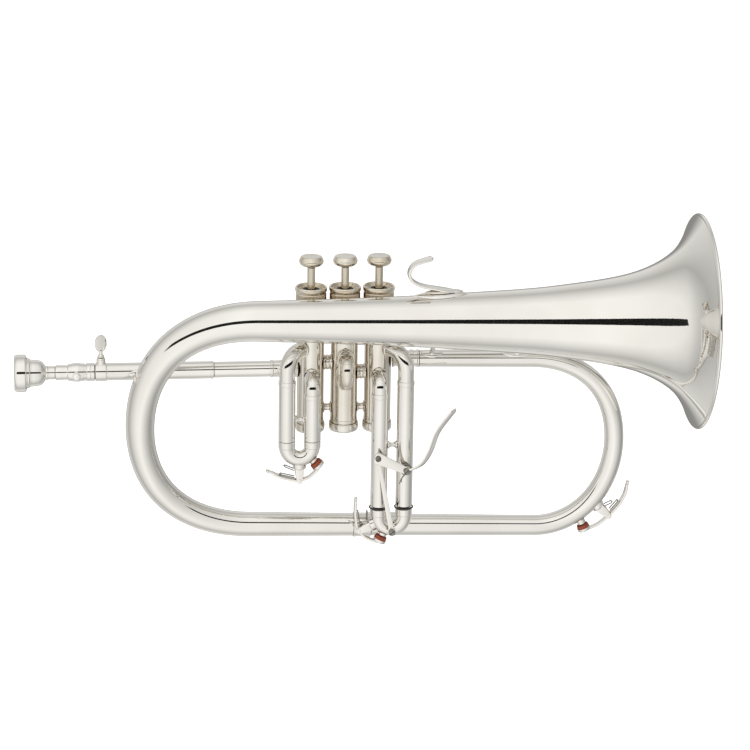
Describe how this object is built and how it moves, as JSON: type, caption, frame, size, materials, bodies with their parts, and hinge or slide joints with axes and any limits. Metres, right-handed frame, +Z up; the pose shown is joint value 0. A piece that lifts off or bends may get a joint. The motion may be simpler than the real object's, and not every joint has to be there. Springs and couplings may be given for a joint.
{
  "type": "flugelhorn",
  "caption": "Silver-plated flugelhorn with piston valves, a wide conical bell, a trigger on the third valve slide, water keys and a sliding leadpipe with its mouthpiece in place.",
  "frame": {"origin": "centre of the flat underside of the middle valve's bottom cap", "axes": "+Z up along the valve axes towards the finger buttons, +X along the leadpipe from the mouthpiece towards the bell, +Y to the player's left"},
  "size_m": [0.4815, 0.152, 0.2433],
  "materials": {
    "silver_plate": "polished silver plate over brass",
    "monel": "honed nickel alloy",
    "steel": "spring and screw steel",
    "cork": "red-brown natural cork",
    "felt": "pressed felt",
    "rubber": "soft black rubber"
  },
  "bodies": {
    "horn": {"bell": "silver_plate", "bell_tail_ferrule": "silver_plate", "main_bow": "silver_plate", "exit_tube": "silver_plate", "leadpipe": "silver_plate", "leadpipe_sleeve": "silver_plate", "valve_casing_1": "silver_plate", "valve_casing_2": "silver_plate", "valve_casing_3": "silver_plate", "top_cap_1": "silver_plate", "top_cap_2": "silver_plate", "top_cap_3": "silver_plate", "bottom_cap_1": "silver_plate", "bottom_cap_2": "silver_plate", "bottom_cap_3": "silver_plate", "felt_washer_1": "felt", "felt_washer_2": "felt", "felt_washer_3": "felt", "valve_spring_1": "steel", "valve_spring_2": "steel", "valve_spring_3": "steel", "valve_bridge_1_2": "silver_plate", "valve_bridge_2_3": "silver_plate", "first_slide_tubes": "silver_plate", "third_slide_tubes": "silver_plate", "trigger_pivot_screw": "steel", "trigger_spring": "steel", "main_key_spring": "steel", "finger_hook": "silver_plate", "bell_brace_front": "silver_plate", "bell_brace_rear": "silver_plate", "leadpipe_brace": "silver_plate", "bottom_brace": "silver_plate"},
    "tuning_slide": {"tuning_leadpipe": "silver_plate"},
    "mouthpiece": {"mouthpiece": "silver_plate"},
    "wing_screw": {"wing_screw": "silver_plate"},
    "lyre_screw": {"lyre_screw": "silver_plate"},
    "first_slide": {"first_slide_bow": "silver_plate", "first_key_spring": "steel"},
    "second_slide": {"second_slide_bow": "silver_plate"},
    "third_slide": {"third_slide_bow": "silver_plate", "slide_bumper_inner": "rubber", "slide_bumper_outer": "rubber", "third_key_spring": "steel", "link_screw_lower": "steel"},
    "trigger_lever": {"trigger_lever": "silver_plate", "link_screw_upper": "steel"},
    "trigger_link": {"trigger_link": "silver_plate"},
    "first_key": {"first_key_lever": "silver_plate", "first_key_cork": "cork"},
    "third_key": {"third_key_lever": "silver_plate", "third_key_cork": "cork"},
    "main_key": {"main_key_lever": "silver_plate", "main_key_cork": "cork"},
    "valve_1": {"piston_1": "monel", "finger_button_1": "silver_plate"},
    "valve_2": {"piston_2": "monel", "finger_button_2": "silver_plate"},
    "valve_3": {"piston_3": "monel", "finger_button_3": "silver_plate"}
  },
  "joints": [
    {"name": "valve_1_press", "type": "slide", "parent": "horn", "child": "valve_1", "axis": [0, 0, -1], "range_m": [0, 0.015], "stiffness_N_per_m": 120, "springref_m": -0.015, "deforming": ["valve_spring_1"]},
    {"name": "valve_2_press", "type": "slide", "parent": "horn", "child": "valve_2", "axis": [0, 0, -1], "range_m": [0, 0.015], "stiffness_N_per_m": 120, "springref_m": -0.015, "deforming": ["valve_spring_2"]},
    {"name": "valve_3_press", "type": "slide", "parent": "horn", "child": "valve_3", "axis": [0, 0, -1], "range_m": [0, 0.015], "stiffness_N_per_m": 120, "springref_m": -0.015, "deforming": ["valve_spring_3"]},
    {"name": "trigger_pull", "type": "hinge", "parent": "horn", "child": "trigger_lever", "pos_m": [0.0421, -0.03, -0.0218], "axis": [0, -1, 0], "range_deg": [0, 40]},
    {"name": "trigger_link_swing", "type": "hinge", "parent": "trigger_lever", "child": "trigger_link", "pos_m": [0.0218, -0.028, -0.012], "axis": [0, -1, 0], "range_deg": [-38, 0]},
    {"name": "third_slide_pull", "type": "slide", "parent": "horn", "child": "third_slide", "axis": [0, 0, -1], "range_m": [0, 0.015]},
    {"name": "first_slide_pull", "type": "slide", "parent": "horn", "child": "first_slide", "axis": [0, 0, -1], "range_m": [0, 0.018]},
    {"name": "second_slide_pull", "type": "slide", "parent": "horn", "child": "second_slide", "axis": [0, -1, 0], "range_m": [0, 0.004]},
    {"name": "tuning_slide_pull", "type": "slide", "parent": "horn", "child": "tuning_slide", "axis": [-1, 0, 0], "range_m": [0, 0.025]},
    {"name": "mouthpiece_pull", "type": "slide", "parent": "tuning_slide", "child": "mouthpiece", "axis": [-1, 0, 0], "range_m": [0, 0.025]},
    {"name": "wing_screw_turn", "type": "hinge", "parent": "horn", "child": "wing_screw", "pos_m": [-0.1713, 0, 0.065], "axis": [0, 0, 1], "range_deg": [0, 360]},
    {"name": "lyre_screw_turn", "type": "hinge", "parent": "tuning_slide", "child": "lyre_screw", "pos_m": [-0.1886, -0.009, 0.04635], "axis": [0, -1, 0], "range_deg": [0, 360]},
    {"name": "first_key_open", "type": "hinge", "parent": "first_slide", "child": "first_key", "pos_m": [-0.0329, -0.019, -0.0306], "axis": [0, 1, 0], "range_deg": [0, 8]},
    {"name": "third_key_open", "type": "hinge", "parent": "third_slide", "child": "third_key", "pos_m": [0.00979, -0.019, -0.06931], "axis": [0, 1, 0], "range_deg": [0, 8]},
    {"name": "main_key_open", "type": "hinge", "parent": "horn", "child": "main_key", "pos_m": [0.194, 0, -0.0696], "axis": [0, -1, 0], "range_deg": [0, 8]}
  ],
  "couplings": [
    {"joint": "third_slide_pull", "follows": "trigger_pull", "m_per_rad": 0.02141},
    {"joint": "trigger_link_swing", "follows": "trigger_pull", "ratio": -0.937}
  ]
}
